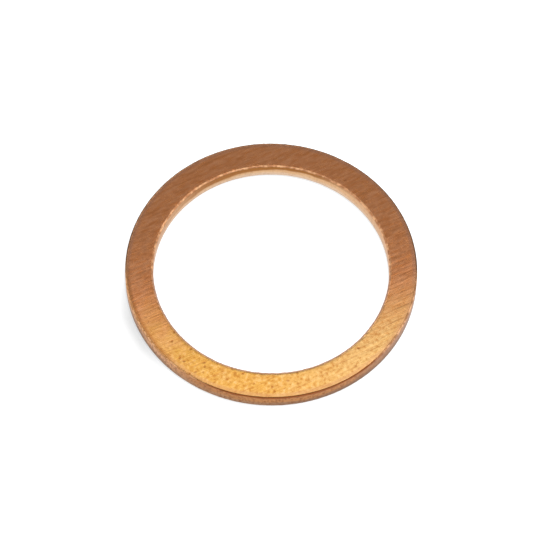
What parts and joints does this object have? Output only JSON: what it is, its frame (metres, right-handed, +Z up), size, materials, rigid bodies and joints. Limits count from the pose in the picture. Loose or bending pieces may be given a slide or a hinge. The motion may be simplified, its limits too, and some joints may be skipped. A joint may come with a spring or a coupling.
{
  "type": "copper crush washer",
  "caption": "Flat copper ring with a round bore and rolled-over edges, crushed between a screwed plug's flange and a port's face to seal the joint.",
  "frame": {"origin": "middle of the lower face, on the bore's axis", "axes": "+Z up along the bore's axis, from the lower face to the upper face, whose edges are rolled over; X and Y lie in the lower face"},
  "size_m": [0.026, 0.026, 0.0016],
  "materials": {
    "copper": "soft copper, satin, with fine straight rolling lines and tumbled edges"
  },
  "bodies": {
    "root": {"copper_washer": "copper"}
  },
  "joints": []
}
